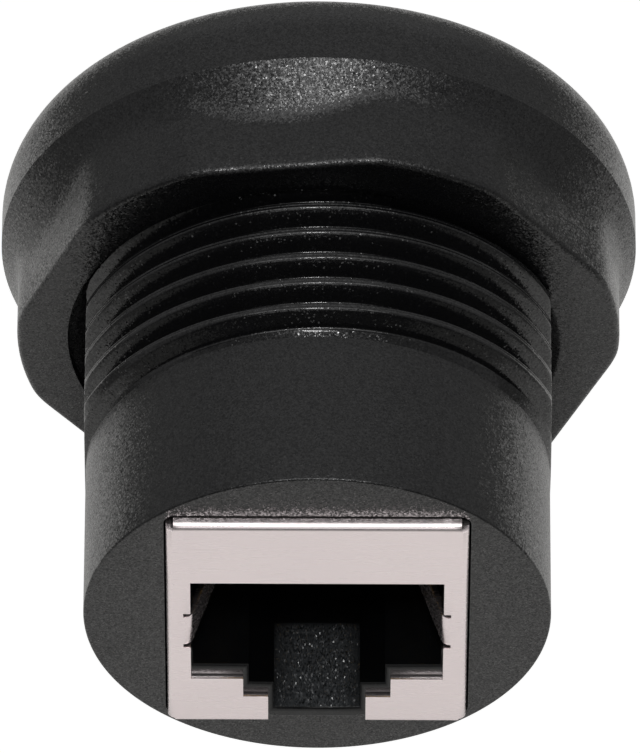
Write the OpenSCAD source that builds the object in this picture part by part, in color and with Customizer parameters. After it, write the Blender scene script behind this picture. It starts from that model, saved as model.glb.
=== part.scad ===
// Waterproof network coupler for a panel: two shielded sockets, back to back on a
// small board, in a threaded barrel with a domed bezel, a gasket and a lock nut.
// Y runs along the barrel, with the rear socket towards -Y. The origin lies on the
// barrel's axis, in the plane where the bezel meets the panel. Millimetres.

/* [Plug opening] */
// Width of the opening for the plug's body
plug_w = 11.9; // [11:0.1:13]
// Height of the opening for the plug's body
plug_h = 7.5; // [6.5:0.1:9]
// Width of the keyway's upper step
key_w = 6.55; // [5.5:0.05:8]
// Height of the keyway's upper step
key_h = 1.5; // [1:0.1:2.5]
// Width of the keyway's lower step, where the latch hooks in
latch_w = 4.15; // [3:0.05:5]
// Height of the keyway's lower step
latch_h = 2.1; // [1:0.1:3]

/* [Contact insert] */
// Plastic on each side of the plug opening
insert_side = 0.9; // [0.6:0.05:1.6]
// Plastic above the plug opening, where the contacts lie
insert_head = 4.05; // [3.5:0.05:6]
// Plastic under the keyway, without the tongue
insert_foot = 0.35; // [0.1:0.05:0.6]
// Plastic between the plug opening and the board
insert_back = 0.9; // [0.6:0.1:2]
// Plastic in front of the contact slots
comb_front = 0.7; // [0.4:0.1:1.5]
// Height of the contact slots above the plug opening
comb_h = 1.85; // [1.6:0.05:3]
// Room on each side of a contact in its slot
comb_gap = 0.11; // [0.05:0.01:0.2]

/* [Contacts] */
// Distance between neighbouring contacts
contact_pitch = 1.02; // [0.9:0.01:1.2]
// Width of a contact
contact_w = 0.4; // [0.3:0.05:0.5]
// Thickness of a contact
contact_t = 0.3; // [0.2:0.05:0.4]
// Radius of the bend at the mouth, to the middle of the strip
contact_bend = 0.7; // [0.5:0.05:0.8]
// Gap between the bend and the front of its slot
contact_nose = 0.55; // [0.2:0.05:1.5]
// Length of the sprung leg
contact_leg = 7.8; // [6:0.1:9]
// Slope of the sprung leg
contact_slope = 22; // [15:1:26]
// How far the tail reaches into the board
contact_tail = 1.3; // [0.8:0.1:1.5]

/* [Shield] */
// Thickness of the shield's sheet
sheet_t = 0.3; // [0.2:0.05:0.4]
// Outer radius of the folds
fold_r = 0.35; // [0.3:0.05:0.6]
// Length of the shield's walls behind its face
shield_depth = 9; // [7:0.5:10]
// Gap between the shield's walls and the insert
shield_fit = 0.05; // [0.02:0.01:0.1]
// How far the window's sides stand back from the plug opening
window_side = 0.1; // [0:0.05:0.3]
// How far the window's top edge covers the plug opening
window_top = 0.2; // [0:0.05:0.5]
// How far the window's lower edges show the insert
window_low = 0.65; // [0.2:0.05:0.9]
// How far the window's keyway stands back from the insert's
window_key = 0.27; // [0.1:0.01:0.4]
// Radius of the window's upper corners
window_r = 0.2; // [0.2:0.1:1]
// Width of each ground spring
spring_w = 2.2; // [1.5:0.1:3]
// Width of the relief slots beside a ground spring
spring_slot = 0.3; // [0.2:0.05:0.6]
// Depth of the relief slots beside a ground spring
spring_root = 0.35; // [0.2:0.05:0.5]
// Outer radius of a ground spring's bend
spring_bend = 0.5; // [0.4:0.05:0.6]
// Length of a ground spring behind its bend
spring_len = 4.5; // [3:0.5:7]
// Lean of a ground spring into the plug opening
spring_lean = 18; // [2:1:24]
// Height of the ground springs below the opening's middle
spring_drop = 0.4; // [0:0.1:1]

/* [Housing] */
// Gap between the shields and the pocket
pocket_gap = 0.1; // [0.05:0.05:0.2]
// Radius of the pocket's corners
pocket_r = 0.6; // [0.4:0.1:1]
// Least wall between the pocket's corners and the plain barrel
barrel_wall = 0.45; // [0.4:0.05:1.5]
// Length of the plain barrel
barrel_len = 8.35; // [5:0.05:12]
// Rounding of the barrel's rear edge
barrel_round = 0.2; // [0.2:0.1:0.8]
// Length of the threaded shank
thread_len = 13.65; // [12:0.05:20]
// Depth of the flat on each side of the threaded shank
flat_cut = 0.75; // [0.3:0.05:0.8]
// Width of the bezel's seat outside the thread
bezel_seat = 3.5; // [3:0.1:6]
// Thickness of the bezel
bezel_t = 5; // [4.5:0.1:8]
// Rounding of the bezel's front edge
bezel_round = 3.5; // [1:0.1:4]
// Thickness of the lip that stops the front socket
lip_t = 0.8; // [0.6:0.1:1.5]
// How far the lip covers the sides of the front shield
lip_side = 0.7; // [0.4:0.1:1]
// How far the lip covers the ends of the front shield
lip_end = 0.25; // [0.1:0.05:0.3]
// How far the rear shield stands out of the barrel
shield_proud = 0.6; // [0:0.05:1]

/* [Thread] */
// Height of the thread above the plain barrel
thread_rise = 0.8; // [0.6:0.1:1.2]
// Distance between neighbouring turns
thread_pitch = 1.5; // [1:0.25:1.75]
// Width of a crest
thread_crest = 0.3; // [0.15:0.05:0.5]
// Width of a groove's floor
thread_root = 0.14; // [0.1:0.02:0.3]
// Angle between the two flanks of a groove
thread_angle = 60; // [55:1:60]
// Distance from the bezel to the middle of the first half turn
thread_start = 1.11; // [1:0.01:3]
// Length of the thread's lead-in
thread_lead = 1.25; // [0.3:0.05:2]

/* [Lock nut] */
// Height of the nut
nut_h = 5.6; // [4:0.1:9]
// Wall from the thread to a flat of the hexagon
nut_wall = 2; // [1.5:0.1:4]
// How far the turned corners stand out from the flats
nut_corner = 0.65; // [0.3:0.05:1.5]
// Height of the flange's cone, up to the flats
nut_cone = 2.6; // [1.5:0.1:3.5]
// Height of the straight edge below the cone
nut_edge = 0.2; // [0.1:0.1:1]
// Gap between the nut's bore and the thread's crests
nut_gap = 0.15; // [0.05:0.05:0.3]
// Chamfer at the mouth of the nut's bore
nut_mouth = 0.4; // [0.2:0.1:0.8]
// How far the hexagon is turned about the axis
nut_turn = 53; // [0:1:59]

/* [Panel gasket] */
// Distance from the thread to the gasket
gasket_in = 0.6; // [0.4:0.1:1]
// Width of the gasket
gasket_w = 1.9; // [1:0.1:2.2]
// Thickness of the gasket
gasket_t = 1.2; // [0.8:0.1:2]
// Gap between the gasket and its groove's walls
gasket_fit = 0.05; // [0.02:0.01:0.1]

/* [Link board and sealing] */
// Thickness of the board between the sockets
board_t = 1.6; // [1:0.1:2]
// Diameter of the board's holes for the contact tails
board_hole = 0.8; // [0.7:0.05:0.9]
// Gap between the sealing compound and the shields' walls
seal_gap = 1; // [0.5:0.1:2]

/* [Hidden] */
$fn = 64;
eps = 0.01;
contact_count = 8;

insert_w = plug_w + 2 * insert_side;
insert_h = insert_head + plug_h + key_h + latch_h + insert_foot;
plug_top = insert_h / 2 - insert_head;
plug_floor = plug_top - plug_h;
key_floor = plug_floor - key_h;
latch_floor = key_floor - latch_h;

shield_w = insert_w + 2 * (shield_fit + sheet_t);
shield_h = insert_h + 2 * (shield_fit + sheet_t);
plate_w = shield_w - 2 * fold_r;
plate_h = shield_h - 2 * fold_r;
window_half = plug_w / 2 + window_side;
window_floor = plug_floor - window_low;
spring_z = (plug_top + plug_floor) / 2 - spring_drop;

pocket_w = shield_w + 2 * pocket_gap;
pocket_h = shield_h + 2 * pocket_gap;
pocket_reach = norm([pocket_w / 2 - pocket_r, pocket_h / 2 - pocket_r]) + pocket_r;
barrel_r = ceil(20 * (pocket_reach + barrel_wall)) / 20;
thread_r = barrel_r + thread_rise;
thread_depth = (thread_pitch - thread_crest - thread_root) / 2 / tan(thread_angle / 2);
thread_step = thread_pitch / 2;
thread_last = floor((thread_len - thread_start - thread_crest) / thread_step);
bezel_r = thread_r + bezel_seat;
rear_y = -(thread_len + barrel_len);

rear_face = rear_y - shield_proud;
front_face = bezel_t - lip_t;
core_mid = (rear_face + front_face) / 2;
core_half = (front_face - rear_face) / 2;
insert_end = core_half - board_t / 2;
plug_end = insert_end - insert_back;
seal_half = core_half - shield_depth - seal_gap;

comb_w = contact_w + 2 * comb_gap;
comb_top = plug_top + comb_h;
contact_z = comb_top - contact_t / 2;
contact_y = sheet_t + comb_front + contact_nose + contact_bend + contact_t / 2;

gasket_r = thread_r + gasket_in;

// Rounded rectangle about the axis
module rounded(w, h, r) {
    square([w - 2 * r, h], center = true);
    square([w, h - 2 * r], center = true);
    for (x = [-1, 1], y = [-1, 1])
        translate([x * (w / 2 - r), y * (h / 2 - r)])
            circle(r);
}

// Outline seen along the barrel, from depth y0 to depth y1
module slab(y0, y1) {
    translate([0, y1, 0])
        rotate([90, 0, 0])
            linear_extrude(y1 - y0)
                children();
}

// Half section [radius, y] turned about the barrel's axis
module turned() {
    rotate([-90, 0, 0])
        rotate_extrude()
            children();
}

// Places a socket part with its face towards -Y
module at_rear() {
    translate([0, rear_face, 0])
        children();
}

// Places the same part at the front, turned half round about X
module at_front() {
    translate([0, front_face, 0])
        rotate([180, 0, 0])
            children();
}

function contact_x(i) = (i - (contact_count + 1) / 2) * contact_pitch;

// Sector of a ring from angle a0 to angle a1, under half a turn apart
module ring_sector(r_in, r_out, a0, a1) {
    mid = (a0 + a1) / 2;
    far = 3 * r_out;
    intersection() {
        difference() {
            circle(r_out);
            circle(r_in);
        }
        polygon([[0, 0],
                 far * [cos(a0), sin(a0)],
                 far * [cos((a0 + mid) / 2), sin((a0 + mid) / 2)],
                 far * [cos(mid), sin(mid)],
                 far * [cos((a1 + mid) / 2), sin((a1 + mid) / 2)],
                 far * [cos(a1), sin(a1)]]);
    }
}

// One moulding: plain barrel, threaded shank with two flats, domed bezel
module housing() {
    color("#2b2c2e")
    difference() {
        union() {
            turned()
                barrel_section();
            intersection() {
                turned()
                    shank_section();
                cube([2 * (thread_r - flat_cut), 4 * thread_len, 3 * thread_r], center = true);
            }
            turned()
                bezel_section();
        }
        for (i = [0 : thread_last])
            groove(i);
        slab(rear_y - 1, front_face)
            rounded(pocket_w, pocket_h, pocket_r);
        slab(front_face - 1, bezel_t + 1)
            rounded(shield_w - 2 * lip_side, shield_h - 2 * lip_end, pocket_r);
        turned()
            translate([gasket_r - gasket_fit, -1])
                square([gasket_w + 2 * gasket_fit, gasket_t + 1]);
    }
}

module barrel_section() {
    inner = barrel_r - barrel_round;
    translate([0, rear_y])
        square([inner, barrel_round + eps]);
    translate([0, rear_y + barrel_round])
        square([barrel_r, barrel_len - barrel_round]);
    intersection() {
        translate([inner, rear_y + barrel_round])
            circle(barrel_round);
        translate([0, rear_y])
            square([barrel_r, barrel_round + eps]);
    }
}

module shank_section() {
    polygon([[0, -thread_len],
             [barrel_r, -thread_len],
             [thread_r, thread_lead - thread_len],
             [thread_r, 0],
             [0, 0]]);
}

// Half turn of the thread's groove, over the barrel for an even number and under it for
// an odd one. It leans so that it meets the true helix at 60 degrees from its middle.
module groove(i) {
    over = i % 2 == 0 ? 1 : -1;
    clear = 0.5;
    root_r = thread_r - thread_depth;
    floor_half = thread_root / 2;
    mouth_half = floor_half + (thread_depth + clear) * tan(thread_angle / 2);
    lean = asin(thread_pitch / 6 / sin(60) / (thread_r - thread_depth / 2));
    translate([0, -thread_start - i * thread_step, 0])
        rotate([-90 * over, 0, over * lean])
            rotate([0, 0, 180])
                rotate_extrude(angle = 180)
                    polygon([[root_r, -floor_half],
                             [thread_r + clear, -mouth_half],
                             [thread_r + clear, mouth_half],
                             [root_r, floor_half]]);
}

module bezel_section() {
    inner = bezel_r - bezel_round;
    square([inner, bezel_t]);
    square([bezel_r, bezel_t - bezel_round]);
    intersection() {
        translate([inner, bezel_t - bezel_round])
            circle(bezel_round);
        square([bezel_r, bezel_t]);
    }
}

// Hexagon with turned corners on a conical flange as wide as the bezel
module lock_nut() {
    flat_r = thread_r + nut_wall;
    bore_r = thread_r + nut_gap;
    color("#2f3032")
    difference() {
        union() {
            intersection() {
                rotate([90, nut_turn, 0])
                    cylinder(r = flat_r / cos(30), h = nut_h, $fn = 6);
                turned()
                    translate([0, -nut_h])
                        square([flat_r + nut_corner, nut_h]);
            }
            turned()
                polygon([[0, 0],
                         [bezel_r, 0],
                         [bezel_r, -nut_edge],
                         [flat_r - nut_corner, nut_flange_y(flat_r - nut_corner)],
                         [0, nut_flange_y(flat_r - nut_corner)]]);
        }
        turned()
            polygon([[0, -nut_h - 1],
                     [bore_r + nut_mouth + 1, -nut_h - 1],
                     [bore_r, -nut_h + nut_mouth],
                     [bore_r, 1],
                     [0, 1]]);
    }
}

// Place along the axis where the flange's cone has radius r
function nut_flange_y(r) =
    -nut_edge - (nut_cone - nut_edge) * (bezel_r - r) / (bezel_r - thread_r - nut_wall);

// Flat ring that lies in the groove at the back of the bezel
module panel_gasket() {
    color("#1b1b1c")
        turned()
            translate([gasket_r, 0])
                square([gasket_w, gasket_t]);
}

// Folded sheet: face with the plug window, four walls and two ground springs
module shield() {
    color("#d6d1cf") {
        difference() {
            slab(0, sheet_t)
                square([plate_w, plate_h], center = true);
            slab(-1, sheet_t + 1)
                window_outline();
        }
        fold(plate_w, shield_h, 0);
        for (a = [90, 270])
            fold(plate_h, shield_w, a);
        difference() {
            fold(plate_w, shield_h, 180);
            slab(-1, shield_depth + 1)
                translate([0, -shield_h / 2])
                    square([latch_w + 2 * window_key, shield_h / 2], center = true);
        }
        for (side = [0, 1])
            mirror([side, 0, 0])
                ground_spring();
    }
}

module window_outline() {
    top = plug_top - window_top;
    tall = top - window_floor;
    translate([0, window_floor + tall / 2])
        rounded(2 * window_half, tall, window_r);
    translate([-window_half, window_floor])
        square([2 * window_half, tall / 2]);
    translate([-key_w / 2 - window_key, key_floor - window_low])
        square([key_w + 2 * window_key, key_h + eps]);
    translate([-latch_w / 2 - window_key, -shield_h])
        square([latch_w + 2 * window_key, shield_h + key_floor - window_low + eps]);
    translate([0, spring_z])
        square([2 * (window_half + spring_root), spring_w + 2 * spring_slot], center = true);
}

// Wall of the shield with its fold, rooted in the plate, at a distance of span / 2 from the axis
module fold(wide, span, turn) {
    rotate([0, turn, 0])
        translate([-wide / 2, 0, span / 2])
            rotate([90, 0, 90])
                linear_extrude(wide) {
                    translate([0, -fold_r - eps])
                        square([sheet_t, eps]);
                    translate([fold_r, -fold_r])
                        ring_sector(fold_r - sheet_t, fold_r, 90, 180);
                    translate([fold_r, -sheet_t])
                        square([shield_depth - fold_r, sheet_t]);
                }
}

// Tongue bent in from the window's edge, which presses on the plug's own shield
module ground_spring() {
    translate([window_half + spring_root, spring_bend, spring_z - spring_w / 2])
        linear_extrude(spring_w) {
            translate([0, -spring_bend])
                square([eps, sheet_t]);
            ring_sector(spring_bend - sheet_t, spring_bend, 180 + spring_lean, 270);
            rotate(spring_lean)
                translate([-spring_bend, -eps])
                    square([sheet_t, spring_len + eps]);
        }
}

// Moulded block with the plug opening, the keyway and a slot for each contact
module insert() {
    color("#202124")
    difference() {
        union() {
            slab(sheet_t, insert_end)
                square([insert_w, insert_h], center = true);
            slab(sheet_t, shield_depth)
                translate([-latch_w / 2, -shield_h / 2])
                    square([latch_w, shield_h / 2]);
        }
        slab(0, plug_end) {
            translate([-plug_w / 2, plug_floor])
                square([plug_w, plug_h]);
            translate([-key_w / 2, key_floor])
                square([key_w, key_h + eps]);
            translate([-latch_w / 2, latch_floor])
                square([latch_w, latch_h + eps]);
        }
        slab(0, spring_bend + spring_len + spring_slot)
            translate([0, spring_z])
                square([2 * insert_w, spring_w + 2 * spring_slot], center = true);
        for (i = [1 : contact_count]) {
            slab(sheet_t + comb_front, plug_end)
                translate([contact_x(i) - comb_w / 2, plug_top - eps])
                    square([comb_w, comb_h + eps]);
            slab(plug_end - eps, insert_end + 1)
                translate([contact_x(i), contact_z])
                    square([comb_w, contact_t + 2 * comb_gap], center = true);
        }
    }
}

// Flat strip: tail in the board, run along its slot, bend, sprung leg
module contact(i) {
    end = insert_end + contact_tail;
    color("#d2a741")
        translate([contact_x(i) - contact_w / 2, 0, 0])
            rotate([90, 0, 90])
                linear_extrude(contact_w) {
                    translate([contact_y, contact_z - contact_t / 2])
                        square([end - contact_y, contact_t]);
                    translate([contact_y, contact_z - contact_bend]) {
                        ring_sector(contact_bend - contact_t / 2, contact_bend + contact_t / 2,
                                    90, 270 - contact_slope);
                        rotate(-contact_slope) {
                            translate([0, -contact_bend - contact_t / 2])
                                square([contact_leg, contact_t]);
                            translate([contact_leg, -contact_bend])
                                circle(contact_t / 2);
                        }
                    }
                }
}

// Board between the sockets, with a hole for each contact's tail
module link_board() {
    color("#2c5a3c")
    difference() {
        slab(core_mid - board_t / 2, core_mid + board_t / 2)
            square([insert_w, insert_h], center = true);
        for (i = [1 : contact_count], end = [-1, 1])
            translate([contact_x(i), core_mid, end * contact_z])
                rotate([90, 0, 0])
                    cylinder(d = board_hole, h = 2 * board_t, center = true);
    }
}

// Cast ring that closes the pocket around the board and the ends of the inserts
module sealing_compound() {
    color("#17181a")
    difference() {
        slab(core_mid - seal_half, core_mid + seal_half)
            rounded(pocket_w, pocket_h, pocket_r);
        slab(core_mid - seal_half - 1, core_mid + seal_half + 1)
            square([insert_w, insert_h], center = true);
    }
}

housing();
lock_nut();
panel_gasket();
at_rear() shield();  // rear_shield
at_rear() insert();  // rear_insert
for (i = [1 : contact_count])
    at_rear() contact(i);
link_board();
sealing_compound();
at_front() shield();  // front_shield
at_front() insert();  // front_insert
for (i = [1 : contact_count])
    at_front() contact(i);
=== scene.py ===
# Waterproof network coupler for a panel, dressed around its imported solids: two shielded
# sockets back to back in a threaded black barrel with a domed bezel and a lock nut.
# Y runs along the barrel, with the rear socket towards -Y. Named sizes are in millimetres and
# become metres where they are multiplied by MM. The studio's floor, card and lamps are in metres.
import math

import bmesh
import bpy
import numpy as np
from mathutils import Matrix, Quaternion, Vector


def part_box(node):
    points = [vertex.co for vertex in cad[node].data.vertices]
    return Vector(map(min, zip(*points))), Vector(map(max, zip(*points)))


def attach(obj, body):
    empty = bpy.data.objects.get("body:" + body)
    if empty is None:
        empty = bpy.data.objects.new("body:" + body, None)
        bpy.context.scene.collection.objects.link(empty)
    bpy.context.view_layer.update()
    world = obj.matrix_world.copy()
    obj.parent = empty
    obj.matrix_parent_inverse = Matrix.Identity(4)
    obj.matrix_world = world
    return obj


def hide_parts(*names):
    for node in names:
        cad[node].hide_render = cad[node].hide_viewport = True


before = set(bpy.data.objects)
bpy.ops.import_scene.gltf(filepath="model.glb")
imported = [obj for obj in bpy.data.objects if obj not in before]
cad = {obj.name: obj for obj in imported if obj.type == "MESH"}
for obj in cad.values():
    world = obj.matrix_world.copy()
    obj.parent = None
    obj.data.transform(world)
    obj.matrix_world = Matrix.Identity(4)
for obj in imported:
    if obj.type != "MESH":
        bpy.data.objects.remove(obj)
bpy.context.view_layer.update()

MM = 0.001

# Contact inserts
# Two black polyester blocks, moulded with the plug opening, the stepped keyway of the latch
# and a comb of eight slots. The mouth is rounded so that the plug finds its way in.
REAR_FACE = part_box("rear_shield")[0][1] / MM
FRONT_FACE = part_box("front_shield")[1][1] / MM
# Each socket's name, the place of its face, and the way that leads inwards from there
SOCKETS = (("rear", REAR_FACE, 1), ("front", FRONT_FACE, -1))
# Thickness of the shield's sheet, behind which the insert's mouth lies
SHEET_T = 0.3
PLUG_HALF = 5.95
MOUTH_ROUND = 0.2
MOUTH_STEPS = 4
LATCH_FLOOR = 7.4
# The eroded patch on the keyway's floor: how far in it reaches, how softly it ends, how far above
# the floor it starts and is full, how level a face it takes, and where and how far painted shade dims it
# sideways
ERODED_DEPTH = 5.3
ERODED_SOFT = 0.15
ERODED_STARTS = 0.3
ERODED_FULL = 0.1
ERODED_LEVEL = (0.9, 0.98)
ERODED_MIDDLE = 1.0
ERODED_SIDE = 2.1
SIDE_SHADE_SHARE = 0.45
CRATER = 0.055
CRATER_DRAWN = (1.0, 0.5, 1.0)
FLOW = 1.2
# Gaps closed in a mesh from the solids, the slack in picking its vertices, and the angles in
# radians below which faces are merged and above which an edge counts as sharp
WELD = 0.001
SLACK = 0.01
FLAT_ANGLE = math.radians(1)
SHARP_ANGLE = 1


def linear(code):
    """Linear colour of an sRGB hex value."""
    parts = [int(code[i:i + 2], 16) / 255 for i in (1, 3, 5)]
    return [c / 12.92 if c <= 0.04045 else ((c + 0.055) / 1.055) ** 2.4 for c in parts] + [1.0]


def add(tree, kind, inputs=None, **settings):
    """Adds a node to a tree with its settings, and links or fills its inputs."""
    node = tree.nodes.new(kind)
    for name, value in settings.items():
        setattr(node, name, value)
    for name, value in (inputs or {}).items():
        if isinstance(value, bpy.types.NodeSocket):
            tree.links.new(value, node.inputs[name])
        else:
            node.inputs[name].default_value = value
    return node


def new_material(name):
    """Material with an empty tree, the tree, and the place in the object as its first socket."""
    material = bpy.data.materials.new(name)
    material.use_nodes = True
    tree = material.node_tree
    tree.nodes.clear()
    return material, tree, add(tree, "ShaderNodeTexCoord").outputs["Object"]


def maths(tree, operation, *values):
    """Result of one sum on sockets or numbers."""
    return add(tree, "ShaderNodeMath", dict(enumerate(values)), operation=operation).outputs[0]


def vectors(tree, operation, *values):
    """Result of one sum on vectors."""
    return add(tree, "ShaderNodeVectorMath", dict(enumerate(values)), operation=operation).outputs[0]


def ranged(tree, value, start, stop, to=(0.0, 1.0), **settings):
    """Value carried over from the range between start and stop to another one."""
    inputs = {"Value": value, "From Min": start, "From Max": stop, "To Min": to[0], "To Max": to[1]}
    return add(tree, "ShaderNodeMapRange", inputs, **settings).outputs["Result"]


def noise(tree, at, size, detail, roughness=0.5):
    """Noise with a grain of a size in mm."""
    inputs = {"Vector": at, "Scale": 1 / (size * MM), "Detail": detail, "Roughness": roughness}
    return add(tree, "ShaderNodeTexNoise", inputs).outputs["Fac"]


def mixed(tree, factor, first, second):
    """Colour between two others."""
    inputs = {"Factor": factor, "A": first, "B": second}
    return add(tree, "ShaderNodeMix", inputs, data_type="RGBA").outputs["Result"]


def facets(tree, colours, how_far):
    """Normal of the surface, leant another way in each cell of a texture."""
    normal = add(tree, "ShaderNodeNewGeometry").outputs["Normal"]
    lean = vectors(tree, "SUBTRACT", colours, (0.5, 0.5, 0.5))
    some = add(tree, "ShaderNodeVectorMath", {0: lean, "Scale": how_far}, operation="SCALE").outputs[0]
    return vectors(tree, "NORMALIZE", vectors(tree, "ADD", normal, some))


def coat(tree, inputs):
    """Ends a material's tree in a surface."""
    skin = add(tree, "ShaderNodeBsdfPrincipled", inputs)
    add(tree, "ShaderNodeOutputMaterial", {"Surface": skin.outputs["BSDF"]})


def plain_mesh(piece):
    """Mesh of an object with its modifiers applied."""
    return bpy.data.meshes.new_from_object(piece.evaluated_get(bpy.context.evaluated_depsgraph_get()))


def placed(name, mesh, nodes, sharp_past):
    """Finished piece in place of its CAD nodes: flat faces even, edges past an angle sharp."""
    mesh.shade_smooth()
    mesh.set_sharp_from_angle(angle=math.radians(sharp_past))
    piece = bpy.data.objects.new(name, mesh)
    bpy.context.scene.collection.objects.link(piece)
    even = piece.modifiers.new("even_faces", "WEIGHTED_NORMAL")
    even.keep_sharp = True
    plain = plain_mesh(piece)
    piece.modifiers.clear()
    piece.data = plain
    plain.name = name
    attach(piece, "root")
    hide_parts(*nodes)


# Polyester (PBT) from a polished tool: deep black with a half gloss. The keyway's floor has a grey
# spark-eroded patch that ends 5.3 mm in, black beyond, dimmed towards its sides as painted shade; its
# craters, twice as long as wide, glint one by one.
polyester, tree, at = new_material("black_moulded_polyester")
drawn_out = add(tree, "ShaderNodeMapping", {"Vector": at, "Scale": CRATER_DRAWN}).outputs["Vector"]
craters = add(tree, "ShaderNodeTexVoronoi", {"Vector": drawn_out, "Scale": 1 / (CRATER * MM)})
black = mixed(tree, noise(tree, at, FLOW, 3.0), linear("#060607"), linear("#0e0f10"))
split = add(tree, "ShaderNodeSeparateXYZ", {0: at}).outputs
low = ranged(tree, maths(tree, "ABSOLUTE", split["Z"]),
             (LATCH_FLOOR - ERODED_STARTS) * MM, (LATCH_FLOOR - ERODED_FULL) * MM)
facing = add(tree, "ShaderNodeSeparateXYZ", {0: add(tree, "ShaderNodeNewGeometry").outputs["Normal"]}).outputs
flat = ranged(tree, maths(tree, "ABSOLUTE", facing["Z"]), *ERODED_LEVEL)
# The patch stops ERODED_DEPTH in from each face, softly, and the floor beyond it stays black.
from_middle = maths(tree, "ABSOLUTE", maths(tree, "SUBTRACT", split["Y"], (REAR_FACE + FRONT_FACE) / 2 * MM))
eroded_to = (FRONT_FACE - REAR_FACE) / 2 - ERODED_DEPTH
near = ranged(tree, from_middle, (eroded_to - ERODED_SOFT) * MM, (eroded_to + ERODED_SOFT) * MM)
# Painted shade: towards the keyway's sides the patch is weakened to SIDE_SHADE_SHARE, which dims its grey
# there and also leaves it smoother.
inward = ranged(tree, maths(tree, "ABSOLUTE", split["X"]),
                ERODED_MIDDLE * MM, ERODED_SIDE * MM, (1.0, SIDE_SHADE_SHARE))
patch = maths(tree, "MULTIPLY", near, inward)
eroded = maths(tree, "MULTIPLY", maths(tree, "MULTIPLY", low, flat), patch)
coat(tree, {"Base Color": mixed(tree, eroded, black, linear("#3a3c3e")),
            "IOR": 1.5,
            "Specular IOR Level": 0.34,
            "Roughness": ranged(tree, eroded, 0.0, 1.0, (0.17, 0.22)),
            "Normal": facets(tree, craters.outputs["Color"], ranged(tree, eroded, 0.0, 1.0, (0.08, 1.6)))})

for end, face, inwards in SOCKETS:
    bm = bmesh.new()
    bm.from_mesh(cad[f"{end}_insert"].data)
    bmesh.ops.remove_doubles(bm, verts=bm.verts, dist=WELD * MM)
    bmesh.ops.dissolve_limit(bm, verts=bm.verts, edges=bm.edges, angle_limit=FLAT_ANGLE)
    mouth_y = (face + inwards * SHEET_T) * MM
    in_mouth = {v for v in bm.verts
                if abs(v.co.y - mouth_y) < SLACK * MM and abs(v.co.x) < (PLUG_HALF + SLACK) * MM}
    mouth = [e for e in bm.edges if in_mouth.issuperset(e.verts) and e.calc_face_angle(0) > SHARP_ANGLE]
    bmesh.ops.bevel(bm, geom=mouth, offset=MOUTH_ROUND * MM, segments=MOUTH_STEPS,
                    profile=0.5, affect="EDGES")
    mesh = bpy.data.meshes.new(f"{end}_insert_moulding")
    bm.to_mesh(mesh)
    bm.free()
    mesh.materials.clear()
    mesh.materials.append(polyester)
    placed(f"{end}_insert_moulding", mesh, [f"{end}_insert"], sharp_past=35)

# Contacts
# Eight strips of phosphor bronze in each socket, stamped, gold-plated and bent back at the
# mouth into a sprung leg. Their tails go through the insert's back into the link board.
CONTACT_COUNT = 8
CONTACT_PITCH = 1.02
CONTACT_W = 0.4
CONTACT_T = 0.3
CONTACT_EDGE = 0.06
# Height of the tail, the depths where it turns back and ends, the turn's radius, and the leg
CONTACT_Z = 5.4
CONTACT_Y = 2.4
CONTACT_END = 13.9
CONTACT_BEND = 0.7
CONTACT_SLOPE = 22
CONTACT_LEG = 7.8
BEND_POINTS = 17
GOLD_LINE = 0.1
FINE_WELD = 0.0005

# Gold over nickel on rolled bronze: a deep yellow metal whose rolling lines, 0.05 mm apart,
# run along the strip and are drawn twice as coarse so that they show.
gold, tree, at = new_material("gold_plated_bronze")
along = add(tree, "ShaderNodeMapping", {"Vector": at, "Scale": (1.0, 0.05, 0.05)}).outputs["Vector"]
lines = noise(tree, along, GOLD_LINE, 2.0)
coat(tree, {"Base Color": mixed(tree, lines, linear("#c99a3a"), linear("#e6bd5e")),
            "Metallic": 1.0,
            "Roughness": ranged(tree, lines, 0.0, 1.0, (0.18, 0.34))})


def new_tree(name, seed, inputs):
    """Geometry Nodes tree that takes a seed and named inputs, and the sockets that bring them in."""
    tree = bpy.data.node_groups.new(name, "GeometryNodeTree")
    tree.interface.new_socket("Geometry", in_out="OUTPUT", socket_type="NodeSocketGeometry")
    for label, kind in ((seed, "Geometry"), *inputs):
        tree.interface.new_socket(label, in_out="INPUT", socket_type=f"NodeSocket{kind}")
    return tree, add(tree, "NodeGroupInput").outputs


def finished(tree, geometry, material):
    """Ends a Geometry Nodes tree in real geometry with its material."""
    real = add(tree, "GeometryNodeRealizeInstances", {"Geometry": geometry}).outputs["Geometry"]
    coated = add(tree, "GeometryNodeSetMaterial", {"Geometry": real, "Material": material})
    add(tree, "NodeGroupOutput", {"Geometry": coated.outputs["Geometry"]})


def grown(tree, seed, sizes):
    """Plain mesh that a tree makes of a seed mesh with the sizes given."""
    seedling = bpy.data.objects.new("seedling", seed)
    bpy.context.scene.collection.objects.link(seedling)
    modifier = seedling.modifiers.new("tree", "NODES")
    modifier.node_group = tree
    for item in tree.interface.items_tree:
        if item.in_out == "INPUT" and item.name in sizes:
            modifier[item.identifier] = sizes[item.name]
    mesh = plain_mesh(seedling)
    bpy.data.objects.remove(seedling)
    bm = bmesh.new()
    bm.from_mesh(mesh)
    bmesh.ops.remove_doubles(bm, verts=bm.verts, dist=FINE_WELD * MM)
    bmesh.ops.recalc_face_normals(bm, faces=bm.faces)
    bm.to_mesh(mesh)
    bm.free()
    return mesh


def wired(name, points, closed=False):
    """Mesh of edges only, from point to point."""
    count = len(points)
    wire = bpy.data.meshes.new(name)
    wire.from_pydata(points, [(k, (k + 1) % count) for k in range(count if closed else count - 1)], [])
    return wire


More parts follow.
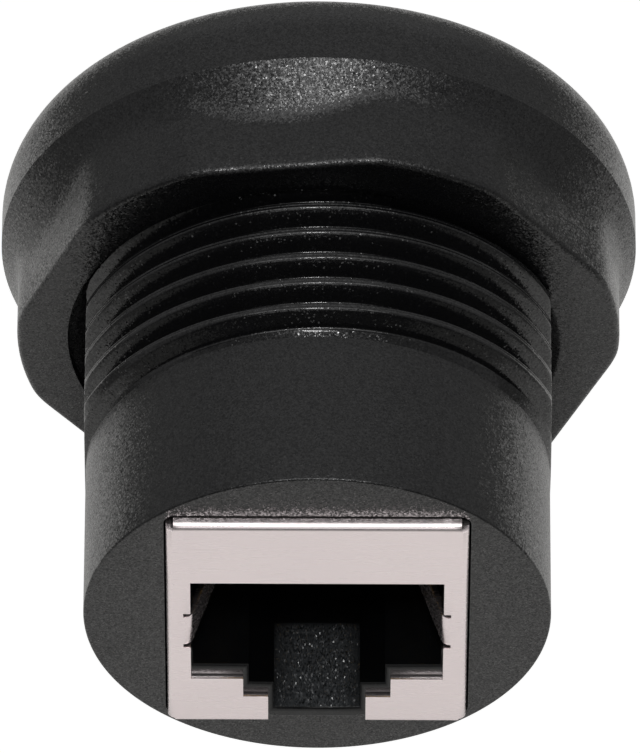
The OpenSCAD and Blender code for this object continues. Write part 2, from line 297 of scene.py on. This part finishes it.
# The tree sweeps a rounded strip along the bent path that it is given, and sets out the row.
row, given = new_tree("contact_row", "Path", (
    ("Count", "Int"), ("Pitch", "Float"), ("Width", "Float"), ("Thickness", "Float"),
    ("Edge radius", "Float"), ("Metal", "Material")))
path = add(row, "GeometryNodeMeshToCurve", {"Mesh": given["Path"]})
upright = add(row, "GeometryNodeSetCurveNormal",
              {"Curve": path.outputs["Curve"], "Normal": (1.0, 0.0, 0.0)}, mode="FREE")
section = add(row, "GeometryNodeCurvePrimitiveQuadrilateral",
              {"Width": given["Width"], "Height": given["Thickness"]})
eased = add(row, "GeometryNodeFilletCurve",
            {"Curve": section.outputs["Curve"], "Count": 2, "Radius": given["Edge radius"]}, mode="POLY")
strip = add(row, "GeometryNodeCurveToMesh",
            {"Curve": upright.outputs["Curve"], "Profile Curve": eased.outputs["Curve"], "Fill Caps": True})
reach = maths(row, "MULTIPLY", maths(row, "SUBTRACT", given["Count"], 1.0), given["Pitch"])
start = add(row, "ShaderNodeCombineXYZ", {"X": maths(row, "MULTIPLY", reach, -0.5)})
step = add(row, "ShaderNodeCombineXYZ", {"X": given["Pitch"]})
places = add(row, "GeometryNodeMeshLine",
             {"Count": given["Count"], "Start Location": start.outputs[0], "Offset": step.outputs[0]})
set_out = add(row, "GeometryNodeInstanceOnPoints",
              {"Points": places.outputs["Mesh"], "Instance": strip.outputs["Mesh"]})
finished(row, set_out.outputs["Instances"], given["Metal"])

slope = math.radians(CONTACT_SLOPE)
bends = [(CONTACT_Y - CONTACT_BEND * math.sin(a), CONTACT_Z - CONTACT_BEND * (1 - math.cos(a)))
         for a in np.radians(np.linspace(0, 180 - CONTACT_SLOPE, BEND_POINTS))]
tip = (bends[-1][0] + CONTACT_LEG * math.cos(slope), bends[-1][1] - CONTACT_LEG * math.sin(slope))
bent = [(CONTACT_END, CONTACT_Z), *bends, tip]
for end, face, inwards in SOCKETS:
    wire = wired("contact_path", [(0, (face + inwards * y) * MM, inwards * z * MM) for y, z in bent])
    mesh = grown(row, wire, {"Count": CONTACT_COUNT, "Pitch": CONTACT_PITCH * MM, "Width": CONTACT_W * MM,
                             "Thickness": CONTACT_T * MM, "Edge radius": CONTACT_EDGE * MM, "Metal": gold})
    numbered = [f"{end}_contact_{i}" for i in range(1, CONTACT_COUNT + 1)]
    placed(f"{end}_contacts", mesh, numbered, sharp_past=40)

# Shields
# One blank of plated sheet for each socket: a face with the plug window, four walls folded
# back over the insert, and two tongues bent in from the window to ground the plug.
STAMPED_EDGE = 0.04
FOLD_R = 0.35
FOLD_POINTS = 7
PLATE_HALF_W = 6.85
PLATE_HALF_H = 7.75
WALL_DEPTH = 9.0
WINDOW_HALF = 6.05
WINDOW_TOP = 3.5
WINDOW_LOW = -4.45
KEY_HALF = 3.545
KEY_LOW = -5.95
LATCH_HALF = 2.345
# One more column of faces, between the keyway and the tongue's bend
COLUMN_X = 5.0
SPRING_Z = -0.45
SPRING_HALF = 1.1
SPRING_SLOT = 0.3
SPRING_ROOT = 6.4
SPRING_R = 0.5
SPRING_POINTS = 9
SPRING_TURN = math.radians(72)
SPRING_LEN = 4.5
NICKEL_LINE = 0.12
NICKEL_CLOUD = 4
DECIMALS = 6
TOUCH = 1e-6

# Nickel on rolled sheet: a pale, slightly warm metal with a satin face. The rolling lines are
# finer than a pixel, so they are drawn 0.12 mm apart and faint.
nickel, tree, at = new_material("nickel_plated_sheet")
along = add(tree, "ShaderNodeMapping", {"Vector": at, "Scale": (0.04, 1.0, 1.0)}).outputs["Vector"]
lines = noise(tree, along, NICKEL_LINE, 3.0)
grain = add(tree, "ShaderNodeBump", {"Height": lines, "Strength": 0.006, "Distance": 0.02 * MM})
cloud = noise(tree, at, NICKEL_CLOUD, 3.0)
coat(tree, {"Base Color": mixed(tree, cloud, linear("#e6dbdc"), linear("#ece1e1")),
            "Metallic": 1.0,
            "Roughness": ranged(tree, lines, 0.0, 1.0, (0.25, 0.29)),
            "Normal": grain.outputs["Normal"]})

# The blank is a grid, with a line wherever an edge, a fold or a bend runs.
fold_mid = FOLD_R - SHEET_T / 2
fold_arc = fold_mid * math.pi / 2
spring_mid = SPRING_R - SHEET_T / 2
spring_arc = spring_mid * SPRING_TURN
wall_end = fold_arc + WALL_DEPTH - SHEET_T / 2 - fold_mid
tongue_tip = SPRING_ROOT - spring_arc - SPRING_LEN
in_fold = fold_arc * np.linspace(0, 1, FOLD_POINTS)
in_bend = spring_arc * np.linspace(1, 0, SPRING_POINTS)
across = np.concatenate([[0.0, tongue_tip, LATCH_HALF, KEY_HALF, COLUMN_X], SPRING_ROOT - in_bend,
                         [WINDOW_HALF], PLATE_HALF_W + in_fold, [PLATE_HALF_W + wall_end]])
across = np.unique(np.round(np.concatenate([across, -across]), DECIMALS))
wall_lines = np.append(PLATE_HALF_H + in_fold, PLATE_HALF_H + wall_end)
slot_lines = [SPRING_Z + s * (SPRING_HALF + gap) for s in (-1, 1) for gap in (0, SPRING_SLOT)]
down = np.concatenate([[WINDOW_TOP, WINDOW_LOW, KEY_LOW], slot_lines, -wall_lines, wall_lines])
down = np.unique(np.round(down, DECIMALS))


def kept(x, z):
    """Whether the blank still has metal at a point, once it is stamped."""
    x = abs(x)
    if x > PLATE_HALF_W or abs(z) > PLATE_HALF_H:
        return (x < PLATE_HALF_W or abs(z) < PLATE_HALF_H) and not (z < 0 and x < LATCH_HALF)
    off_spring = abs(z - SPRING_Z)
    if off_spring < SPRING_HALF and x < SPRING_ROOT:
        return x > tongue_tip
    notch = off_spring < SPRING_HALF + SPRING_SLOT and x < SPRING_ROOT
    window = x < WINDOW_HALF and WINDOW_LOW < z < WINDOW_TOP
    keyway = z < 0 and (x < LATCH_HALF or (x < KEY_HALF and z > KEY_LOW))
    return not (notch or window or keyway)


def folded(x, z):
    """Where a point of the flat blank lies after folding: x, depth behind the face, z."""
    depth = SHEET_T / 2
    if abs(z - SPRING_Z) <= SPRING_HALF + TOUCH and abs(x) < SPRING_ROOT:
        far = SPRING_ROOT - abs(x)
        turn = min(far / spring_mid, SPRING_TURN)
        rest = far - turn * spring_mid
        side = SPRING_ROOT - spring_mid * math.sin(turn) - rest * math.cos(turn)
        return math.copysign(side, x), depth + spring_mid * (1 - math.cos(turn)) + rest * math.sin(turn), z
    out = []
    for value, plate in ((x, PLATE_HALF_W), (z, PLATE_HALF_H)):
        far = max(abs(value) - plate, 0)
        turn = min(far / fold_mid, math.pi / 2)
        depth += fold_mid * (1 - math.cos(turn)) + (far - turn * fold_mid)
        out.append(math.copysign(min(abs(value), plate) + fold_mid * math.sin(turn), value))
    return out[0], depth, out[1]


for end, face, inwards in SOCKETS:
    bm = bmesh.new()
    points = {}
    for i in range(len(across) - 1):
        for j in range(len(down) - 1):
            if not kept((across[i] + across[i + 1]) / 2, (down[j] + down[j + 1]) / 2):
                continue
            corners = []
            for a, b in ((i, j), (i + 1, j), (i + 1, j + 1), (i, j + 1)):
                if (a, b) not in points:
                    x, depth, z = folded(across[a], down[b])
                    points[a, b] = bm.verts.new((x * MM, (face + inwards * depth) * MM, inwards * z * MM))
                corners.append(points[a, b])
            bm.faces.new(corners)
    bmesh.ops.recalc_face_normals(bm, faces=bm.faces)
    mesh = bpy.data.meshes.new("blank")
    bm.to_mesh(mesh)
    bm.free()
    mesh.materials.append(nickel)
    blank = bpy.data.objects.new("blank", mesh)
    bpy.context.scene.collection.objects.link(blank)
    sheet = blank.modifiers.new("sheet", "SOLIDIFY")
    sheet.thickness = SHEET_T * MM
    sheet.offset = 0.0
    sheet.use_even_offset = True
    edge = blank.modifiers.new("stamped_edge", "BEVEL")
    edge.width = STAMPED_EDGE * MM
    edge.segments = 2
    edge.angle_limit = math.radians(50)
    mesh = plain_mesh(blank)
    bpy.data.objects.remove(blank)
    placed(f"{end}_shield_sheet", mesh, [f"{end}_shield"], sharp_past=35)

# Link board
# A small glass laminate board with plated holes, soldered to both rows of tails. It lies
# deep inside, between the backs of the two inserts.
WEAVE = 0.4


def dressed(node, material):
    """Gives a CAD node its material and leaves its shape as it is."""
    cad[node].data.materials.clear()
    cad[node].data.materials.append(material)


# Solder mask over woven glass: a glossy green that lets the weave, 0.4 mm apart, show through.
laminate, tree, at = new_material("green_masked_laminate")
weave = add(tree, "ShaderNodeTexChecker", {"Vector": at, "Scale": 1 / (WEAVE * MM)}).outputs["Fac"]
coat(tree, {"Base Color": mixed(tree, weave, linear("#1f4d33"), linear("#255a3b")),
            "Roughness": 0.25,
            "IOR": 1.55})
dressed("link_board", laminate)

# Sealing compound
# Black epoxy, cast around the board and the ends of the inserts once the core is in the
# housing. It holds the core and stops water.
RIPPLE = 2.5

# Cast, not moulded: a wet black gloss with a slow ripple.
resin, tree, at = new_material("cast_black_epoxy")
ripple = noise(tree, at, RIPPLE, 2.0)
sag = add(tree, "ShaderNodeBump", {"Height": ripple, "Strength": 0.3, "Distance": 0.2 * MM})
coat(tree, {"Base Color": mixed(tree, ripple, linear("#0c0c0d"), linear("#161618")),
            "Roughness": 0.12,
            "IOR": 1.55,
            "Normal": sag.outputs["Normal"]})
dressed("sealing_compound", resin)

# Housing
# One black nylon moulding: a plain barrel, a shank with an M24 x 1.5 thread and two flats
# that key it in the panel, and a domed bezel with a groove for the gasket.
BARREL_R = 11.2
REAR_Y = -22.0
SHANK_Y = -13.65
EDGE_R = 0.1
BEZEL_R = 15.5
BEZEL_T = 5.0
BEZEL_ROUND = 3.5
POCKET_HALF_W = 7.3
POCKET_HALF_H = 8.2
POCKET_R = 0.6
LIP_HALF_W = 6.5
LIP_HALF_H = 7.85
LIP_CHAMFER = 0.15
GROOVE_IN = 12.55
GROOVE_OUT = 14.55
GROOVE_D = 1.2
# Places of the rings that divide the barrel's side and the pocket's wall
BARREL_RINGS = (-16.0, -18.0, -20.0)
POCKET_RINGS = (-13.0, -5.0)
# The core under the thread lies a little deeper than the thread's root, and the ridge roots in it.
CORE_SINK = 0.05
RIDGE_SINK = 0.1
THREAD_R = 12.0
THREAD_ROOT = 11.082
THREAD_PITCH = 1.5
THREAD_CREST = 0.3
THREAD_GAP = 0.14
THREAD_START = -1.485
THREAD_TURNS = 8.6
RUN_IN = 0.3
LEAD_IN = 1.1
FLAT_X = 11.25
ROOT_FILLET = 0.12
CREST_ROUND = 0.16
CREST_SINK = 0.04
SINK_ROUND = 0.06
# How finely the dome, the rear edge, the thread's profile, its helix and the skin are divided
DOME_POINTS = 19
EDGE_POINTS = 8
PROFILE_STEP = 0.1
ROUND_POINTS = 6
HELIX_POINTS = 160
AROUND = 400
SPOKE_TURN = 0.001
NYLON_CRATER = 0.07
NYLON_GRAIN = 0.1

# Nylon from a spark-eroded tool: charcoal with a fine matt grain. Its craters, 0.07 mm wide, each
# lean their own way, and one in five is smoother and leans a little further, so that it can glint.
nylon, tree, at = new_material("spark_textured_black_nylon")
craters = add(tree, "ShaderNodeTexVoronoi", {"Vector": at, "Scale": 1 / (NYLON_CRATER * MM)}).outputs["Color"]
grain = noise(tree, at, NYLON_GRAIN, 2.0, roughness=0.6)
each = add(tree, "ShaderNodeSeparateColor", {0: craters}).outputs
steep = ranged(tree, each["Blue"], 0.78, 0.82)
how_far = ranged(tree, steep, 0.0, 1.0, (0.27, 0.3), name="lean")
chance = add(tree, "ShaderNodeTexWhiteNoise", {"Vector": craters}).outputs["Color"]
pits = add(tree, "ShaderNodeBump", {"Height": grain, "Strength": 0.15, "Distance": 0.02 * MM,
                                    "Normal": facets(tree, chance, how_far)})
coat(tree, {"Base Color": mixed(tree, grain, linear("#050506"), linear("#0c0c0d")),
            "Roughness": ranged(tree, steep, 0.0, 1.0, (0.28, 0.21), name="gloss"),
            "IOR": 1.5,
            "Specular IOR Level": ranged(tree, each["Red"], 0.0, 1.0, (0.34, 0.66)),
            "Normal": pits.outputs["Normal"]})

# The thread comes from a polished core: the same nylon, smoother, so its edges show as thin lines.
smooth_nylon = nylon.copy()
smooth_nylon.name = "polished_black_nylon"
for label, socket, value in (("gloss", "To Min", 0.12), ("gloss", "To Max", 0.12), ("lean", "To Min", 0.04)):
    smooth_nylon.node_tree.nodes[label].inputs[socket].default_value = value

# The tree winds the profile that it is given round the axis, as a right-hand thread. A cone
# takes off its far end, where it leads in, and two flats cut its sides.
thread, given = new_tree("screw_thread", "Profile", (
    ("Radius", "Float"), ("Pitch", "Float"), ("Turns", "Float"), ("Start y", "Float"),
    ("Run-in turns", "Float"), ("Lead-in radius", "Float"), ("Lead-in y", "Float"),
    ("Lead-in slope", "Float"), ("Half width over flats", "Float"), ("Plastic", "Material")))
section = add(thread, "GeometryNodeMeshToCurve", {"Mesh": given["Profile"]})
helix = add(thread, "GeometryNodeCurveSpiral", {
    "Resolution": HELIX_POINTS, "Rotations": given["Turns"], "Start Radius": given["Radius"],
    "End Radius": given["Radius"], "Height": maths(thread, "MULTIPLY", given["Pitch"], given["Turns"]),
    "Reverse": True})
upright = add(thread, "GeometryNodeSetCurveNormal", {"Curve": helix.outputs["Curve"]}, mode="Z_UP")
where = add(thread, "GeometryNodeSplineParameter").outputs["Factor"]
turned = maths(thread, "MULTIPLY", where, given["Turns"])
run_in = ranged(thread, turned, 0.0, given["Run-in turns"], (0.02, 1.0))
ridge = add(thread, "GeometryNodeCurveToMesh", {
    "Curve": upright.outputs["Curve"], "Profile Curve": section.outputs["Curve"], "Scale": run_in,
    "Fill Caps": True})
shift = add(thread, "ShaderNodeCombineXYZ", {"Y": given["Start y"]})
laid = add(thread, "GeometryNodeTransform", {
    "Geometry": ridge.outputs["Mesh"], "Translation": shift.outputs[0], "Rotation": (math.pi / 2, 0, 0)})
spot = add(thread, "GeometryNodeInputPosition")
split = add(thread, "ShaderNodeSeparateXYZ", {0: spot.outputs["Position"]}).outputs
outward = add(thread, "ShaderNodeCombineXYZ", {"X": split["X"], "Z": split["Z"]})
radius = add(thread, "ShaderNodeVectorMath", {0: outward.outputs[0]}, operation="LENGTH").outputs["Value"]
far = maths(thread, "SUBTRACT", split["Y"], given["Lead-in y"])
cone = maths(thread, "MULTIPLY_ADD", far, given["Lead-in slope"], given["Lead-in radius"])
share = maths(thread, "MINIMUM", maths(thread, "DIVIDE", cone, radius), 1.0)
half_flats = given["Half width over flats"]
cut = add(thread, "ShaderNodeClamp", {
    "Value": maths(thread, "MULTIPLY", split["X"], share),
    "Min": maths(thread, "MULTIPLY", half_flats, -1.0), "Max": half_flats})
kept_at = add(thread, "ShaderNodeCombineXYZ", {
    "X": cut.outputs[0], "Y": split["Y"], "Z": maths(thread, "MULTIPLY", split["Z"], share)})
trimmed = add(thread, "GeometryNodeSetPosition", {
    "Geometry": laid.outputs["Geometry"], "Position": kept_at.outputs[0]})
finished(thread, trimmed.outputs["Geometry"], given["Plastic"])


def profile(corners):
    """Closed wire through corners of (height, place along the axis, rounding), in short steps."""
    spots = [np.array(c[:2]) for c in corners]
    bent = []
    for k, spot in enumerate(spots):
        sides = [spots[k - 1] - spot, spots[(k + 1) % len(spots)] - spot]
        a, b = (s / np.linalg.norm(s) for s in sides)
        tangent = corners[k][2] / math.tan(math.acos(np.dot(a, b)) / 2)
        steps = np.linspace(0, 1, ROUND_POINTS) if tangent else [0.5]
        bent += [spot + ((1 - u) ** 2 * a + u * u * b) * tangent for u in steps]
    fine = []
    for p, q in zip(bent, bent[1:] + bent[:1]):
        steps = 1 if max(p[0], q[0]) < 0 else max(1, round(np.linalg.norm(q - p) / PROFILE_STEP))
        fine += [p + (q - p) * u / steps for u in range(steps)]
    return wired("thread_profile", [(p[0] * MM, p[1] * MM, 0) for p in fine], closed=True)


def mirrored(half, crest=()):
    """Corners of a ridge that is the same on both sides, from one side's and those on its crest."""
    return [(h, -y, r) for h, y, r in half] + list(crest) + half[::-1]


# Directions from the axis, turned a little so that none lies exactly along X or Z
angles = np.linspace(0, 2 * math.pi, AROUND, endpoint=False) + SPOKE_TURN


def circle(r):
    """Radius of a round ring at each angle."""
    return np.full(AROUND, r)


def rounded_box(w, h, r):
    """Distance from the axis to a rectangle of half sizes w and h, rounded by r, at each angle from +Z."""
    s, c = np.abs(np.sin(angles)), np.abs(np.cos(angles))
    side = np.minimum(w / s, h / c)
    x, z = w - r, h - r
    along_ray = s * x + c * z
    corner = along_ray + np.sqrt(np.maximum(along_ray ** 2 - (x * x + z * z - r * r), 0))
    return np.where((side * s > x) & (side * c > z), corner, side)


def lofted(name, rings):
    """Closed skin over rings of (radius at each angle, y), the last joined to the first."""
    spots = [np.stack([r * np.sin(angles), np.full(AROUND, y), r * np.cos(angles)], 1) for r, y in rings]
    faces = []
    for k in range(len(rings)):
        a, b = k * AROUND, (k + 1) % len(rings) * AROUND
        faces += [(a + i, a + (i + 1) % AROUND, b + (i + 1) % AROUND, b + i) for i in range(AROUND)]
    mesh = bpy.data.meshes.new(name)
    mesh.from_pydata(np.concatenate(spots) * MM, [], faces)
    return mesh


def arc(r, y, radius, start, stop, steps):
    """Rings along a rounded edge about a centre [r, y], from one angle to another."""
    return [(circle(r + radius * math.cos(a)), y + radius * math.sin(a))
            for a in np.radians(np.linspace(start, stop, steps))]


def joined(mesh, other):
    """Puts another mesh into a mesh, with all faces turned outwards."""
    bm = bmesh.new()
    bm.from_mesh(mesh)
    bm.from_mesh(other)
    bmesh.ops.recalc_face_normals(bm, faces=bm.faces)
    bm.to_mesh(mesh)
    bm.free()


lip = rounded_box(LIP_HALF_W, LIP_HALF_H, POCKET_R)
wide_lip = rounded_box(LIP_HALF_W + LIP_CHAMFER, LIP_HALF_H + LIP_CHAMFER, POCKET_R)
pocket = rounded_box(POCKET_HALF_W, POCKET_HALF_H, POCKET_R)
body = lofted("housing_moulding", [
    (lip, BEZEL_T - LIP_CHAMFER),
    (wide_lip, BEZEL_T),
    *arc(BEZEL_R - BEZEL_ROUND, BEZEL_T - BEZEL_ROUND, BEZEL_ROUND, 90, 0, DOME_POINTS),
    (circle(BEZEL_R), 0.0),
    (circle(GROOVE_OUT), 0.0),
    (circle(GROOVE_OUT), GROOVE_D),
    (circle(GROOVE_IN), GROOVE_D),
    (circle(GROOVE_IN), 0.0),
    *[(circle(THREAD_ROOT - CORE_SINK), y) for y in (0.0, SHANK_Y)],
    *[(circle(BARREL_R), y) for y in (SHANK_Y, *BARREL_RINGS)],
    *arc(BARREL_R - EDGE_R, REAR_Y + EDGE_R, EDGE_R, 0, -90, EDGE_POINTS),
    *[(pocket, y) for y in (REAR_Y, *POCKET_RINGS, FRONT_FACE)],
    (lip, FRONT_FACE)])
plain_faces = len(body.polygons)
half_ridge = [(-RIDGE_SINK, THREAD_PITCH / 2, 0.0),
              (0.0, THREAD_PITCH / 2, 0.0),
              (0.0, (THREAD_PITCH - THREAD_GAP) / 2, ROOT_FILLET),
              (THREAD_R - THREAD_ROOT, THREAD_CREST / 2, CREST_ROUND)]
sunk_crest = [(THREAD_R - THREAD_ROOT - CREST_SINK, 0.0, SINK_ROUND)]
joined(body, grown(thread, profile(mirrored(half_ridge, sunk_crest)), {
    "Radius": THREAD_ROOT * MM, "Pitch": THREAD_PITCH * MM, "Turns": THREAD_TURNS,
    "Start y": THREAD_START * MM, "Run-in turns": RUN_IN, "Lead-in radius": BARREL_R * MM,
    "Lead-in y": SHANK_Y * MM,
    "Lead-in slope": (THREAD_R - BARREL_R) / LEAD_IN, "Half width over flats": FLAT_X * MM,
    "Plastic": smooth_nylon}))
body.materials.clear()
body.materials.append(nylon)
body.materials.append(smooth_nylon)
for polygon in body.polygons:
    polygon.material_index = int(polygon.index >= plain_faces)
placed("housing_moulding", body, ["housing"], sharp_past=24)

# Panel gasket
# A flat silicone ring, stamped from sheet, that lies in the groove at the back of the bezel
# and is squeezed by the panel.
BLOOM = 0.6

# Calendered sheet: soft dark grey with a dusty bloom, and next to no gloss.
silicone, tree, at = new_material("black_silicone_rubber")
bloom = noise(tree, at, BLOOM, 4.0)
pores = add(tree, "ShaderNodeBump", {"Height": bloom, "Strength": 0.2, "Distance": 0.03 * MM})
coat(tree, {"Base Color": mixed(tree, bloom, linear("#171718"), linear("#232325")),
            "Roughness": 0.75,
            "IOR": 1.42,
            "Normal": pores.outputs["Normal"]})
dressed("panel_gasket", silicone)

# Lock nut
# A black nylon hexagon on a conical flange, with its corners turned off. Its own thread runs
# in the shank's, and it is screwed down to the back of the bezel.
NUT_H = 5.6
NUT_FLAT = 14.0
NUT_CORNER = 14.65
NUT_BORE = 12.15
NUT_MOUTH = 0.04
NUT_EDGE = 0.3
NUT_EDGE_POINTS = 6
NUT_TURN = -7
SIDE_ANGLE = 360 / 6
CORNER_EASE = 0.25
FLANGE_R = 15.5
FLANGE_EDGE = 0.2
FLANGE_CONE = 2.6
FLANGE_EASE = 0.35
# The stretch where the cone meets the hexagon ends here, and is divided into this many rings.
BLEND_END = -3.4
BLEND_RINGS = 33
# The nut's ridge: how far it roots in the wall and stands out from it, and half its widths there
NUT_RIDGE_SINK = 0.05
NUT_RIDGE_H = 0.85
NUT_RIDGE_ROOT = 0.645
NUT_RIDGE_CREST = 0.125
NUT_RIDGE_ROUND = 0.05
NUT_TURNS = 3.2
NUT_RUN_IN = 0.2
# A metre from the axis nothing of the nut's thread is cut off.
UNCUT = 1.0


def eased_min(a, b, k):
    """The smaller of two radii, with the edge between them rounded over a width k."""
    h = np.maximum(k - np.abs(a - b), 0) / k
    return np.minimum(a, b) - h * h * k / 4


off_flat = (np.degrees(angles) - NUT_TURN + SIDE_ANGLE / 2) % SIDE_ANGLE - SIDE_ANGLE / 2
hexagon = eased_min(NUT_FLAT / np.cos(np.radians(off_flat)), circle(NUT_CORNER), CORNER_EASE)


def nut_outside(y):
    """Radius of the nut's outside at each angle: the hexagon, or the cone where it is wider."""
    cone = FLANGE_R - (-y - FLANGE_EDGE) * (FLANGE_R - NUT_FLAT) / (FLANGE_CONE - FLANGE_EDGE)
    return -eased_min(-hexagon, circle(-cone), FLANGE_EASE)


nut_mesh = lofted("lock_nut_moulding", [
    (circle(NUT_BORE), 0.0),
    (circle(FLANGE_R), 0.0),
    *[(nut_outside(y), y) for y in np.linspace(-FLANGE_EDGE, BLEND_END, BLEND_RINGS)],
    *[(nut_outside(-NUT_H) - NUT_EDGE * (1 - math.cos(a)), -NUT_H + NUT_EDGE * (1 - math.sin(a)))
      for a in np.radians(np.linspace(0, 90, NUT_EDGE_POINTS))],
    (circle(NUT_BORE + NUT_MOUTH), -NUT_H),
    (circle(NUT_BORE), -NUT_H + NUT_MOUTH)])
half_ridge = [(NUT_RIDGE_SINK, NUT_RIDGE_ROOT, 0.0), (-NUT_RIDGE_H, NUT_RIDGE_CREST, NUT_RIDGE_ROUND)]
inner_thread = grown(thread, profile(mirrored(half_ridge)), {
    "Radius": NUT_BORE * MM, "Pitch": THREAD_PITCH * MM, "Turns": NUT_TURNS,
    "Start y": (THREAD_PITCH / 2 + THREAD_START) * MM, "Run-in turns": NUT_RUN_IN, "Lead-in radius": UNCUT,
    "Lead-in slope": 0.0, "Half width over flats": UNCUT, "Plastic": nylon})
# The thread is cut off level with the nut's near face.
for vertex in inner_thread.vertices:
    vertex.co.y = max(vertex.co.y, -NUT_H * MM)
joined(nut_mesh, inner_thread)
nut_mesh.materials.clear()
nut_mesh.materials.append(nylon)
placed("lock_nut_moulding", nut_mesh, ["lock_nut"], sharp_past=30)

# Studio
# A white floor well below the part, a card just under it with a painted pool of light for its faces
# to mirror, a room that is dark behind the camera, five lamps, and the camera at the photograph's angle.
FLOOR_Z = -0.3
FLOOR_CORNERS = ((-4, -3), (4, -3), (4, 4), (-4, 4))
CARD_Z = -15.6 * MM
CARD_CORNERS = ((-1, -1), (1, -1), (1, 1), (-1, 1))
# The card has a painted pool of light: white round a point below the part, turning grey between two distances
# from it.
LIGHT_POOL_MIDDLE = (0.0, -5 * MM, CARD_Z)
WHITE_TO = 45 * MM
GREY_FROM = 95 * MM
FIBRE = 0.5
# Y of the direction where the room stops being dark and where it is pale, and how bright each is
DARK_TO = -0.9
PALE_FROM = -0.3
ROOM_LIGHT = (0.05, 0.4)
LAMPS_AIM = Vector((0.0, -8.0, 0.0)) * MM
# Each lamp's name, its lean from upright towards -Y, its distance, width, height and power
LAMPS = (
    ("key", 27, 1.0, 0.13, 0.16, 2.05),
    ("wide_box", 27, 1.1, 1.1, 0.3, 0.6),
    ("top_box", 8, 1.1, 1.2, 0.85, 3.8),
    ("back_panel", -53, 1.2, 1.6, 1.6, 1.0),
    ("front_box", 61, 1.1, 0.6, 0.56, 1.0),
)
# The photograph's camera: its focal length and height in pixels, and where it looks from
FOCAL_PIXELS = 12577.0
HEIGHT_PIXELS = 753.0
SENSOR = 36.0
CAMERA_AIM = Vector((0.089, -12.0, 5.75)) * MM
CAMERA_AWAY = 603.28
CAMERA_ABOVE = math.radians(53.794)
CAMERA_ROLL = math.radians(0.238)


def staged(name, corners, height, material):
    """Level sheet that belongs to the studio and not to the part."""
    mesh = bpy.data.meshes.new(name)
    mesh.from_pydata([(x, y, height) for x, y in corners], [], [(0, 1, 2, 3)])
    mesh.materials.append(material)
    sheet = bpy.data.objects.new(name, mesh)
    bpy.context.scene.collection.objects.link(sheet)
    return sheet


# Matt pale paper, lifted to white for the eye and for what mirrors it.
paper, tree, _ = new_material("pale_paper")
ray = add(tree, "ShaderNodeLightPath").outputs
looked_at = maths(tree, "MAXIMUM", ray["Is Camera Ray"], ray["Is Glossy Ray"])
coat(tree, {"Base Color": linear("#b4b4b2"),
            "Roughness": 0.9,
            "Emission Color": linear("#ffffff"),
            "Emission Strength": maths(tree, "MAXIMUM", looked_at, ray["Is Transmission Ray"])})
floor = staged("floor", FLOOR_CORNERS, FLOOR_Z, paper)

# Card stock with a faint fibre, 0.5 mm long, and no gloss, with a painted pool of light: white below
# the part and grey further out.
card, tree, at = new_material("card_with_painted_light_pool")
white = mixed(tree, noise(tree, at, FIBRE, 2.0), linear("#f7f6f4"), linear("#faf9f7"))
off = add(tree, "ShaderNodeVectorMath", {0: at, 1: LIGHT_POOL_MIDDLE}, operation="DISTANCE").outputs["Value"]
coat(tree, {"Base Color": mixed(tree, ranged(tree, off, WHITE_TO, GREY_FROM), white, linear("#8e8e8c")),
            "Roughness": 1.0,
            "Specular IOR Level": 0.0})
# The card is kept from the camera, because the photograph's own background is cut out in white.
table = staged("table", CARD_CORNERS, CARD_Z, card)
table.visible_camera = False

# The room is pale, but dark behind the camera, where the thread's flanks look. The camera
# itself sees it white.
world = bpy.data.worlds.new("pale_surround")
world.use_nodes = True
tree = world.node_tree
tree.nodes.clear()
generated = add(tree, "ShaderNodeTexCoord").outputs["Generated"]
along = add(tree, "ShaderNodeSeparateXYZ", {0: generated}).outputs["Y"]
seen = add(tree, "ShaderNodeLightPath").outputs["Is Camera Ray"]
room = ranged(tree, along, DARK_TO, PALE_FROM, ROOM_LIGHT)
strength = add(tree, "ShaderNodeMix", {"Factor": seen, "A": room, "B": 1.0}).outputs["Result"]
surround = add(tree, "ShaderNodeBackground", {"Color": linear("#ffffff"), "Strength": strength})
add(tree, "ShaderNodeOutputWorld", {"Surface": surround.outputs["Background"]})
bpy.context.scene.world = world

for name, lean_back, away, width, tall, power in LAMPS:
    lamp = bpy.data.lights.new(name, "AREA")
    lamp.shape = "RECTANGLE"
    lamp.size = width
    lamp.size_y = tall
    lamp.energy = power
    lamp_at = bpy.data.objects.new(name, lamp)
    way_out = Vector((0.0, -math.sin(math.radians(lean_back)), math.cos(math.radians(lean_back))))
    lamp_at.location = LAMPS_AIM + way_out * away
    lamp_at.rotation_euler = way_out.to_track_quat("Z", "Y").to_euler()
    bpy.context.scene.collection.objects.link(lamp_at)

lens = bpy.data.cameras.new("camera")
lens.sensor_width = SENSOR
lens.lens = FOCAL_PIXELS * SENSOR / HEIGHT_PIXELS
lens.clip_start = 0.01
lens.clip_end = 20.0
camera = bpy.data.objects.new("camera", lens)
back = Vector((0.0, -math.cos(CAMERA_ABOVE), math.sin(CAMERA_ABOVE)))
camera.location = CAMERA_AIM + back * CAMERA_AWAY * MM
camera.rotation_mode = "QUATERNION"
camera.rotation_quaternion = back.to_track_quat("Z", "Y") @ Quaternion((0, 0, 1), CAMERA_ROLL)
bpy.context.scene.collection.objects.link(camera)
bpy.context.scene.camera = camera
bpy.context.scene.view_settings.view_transform = "Standard"
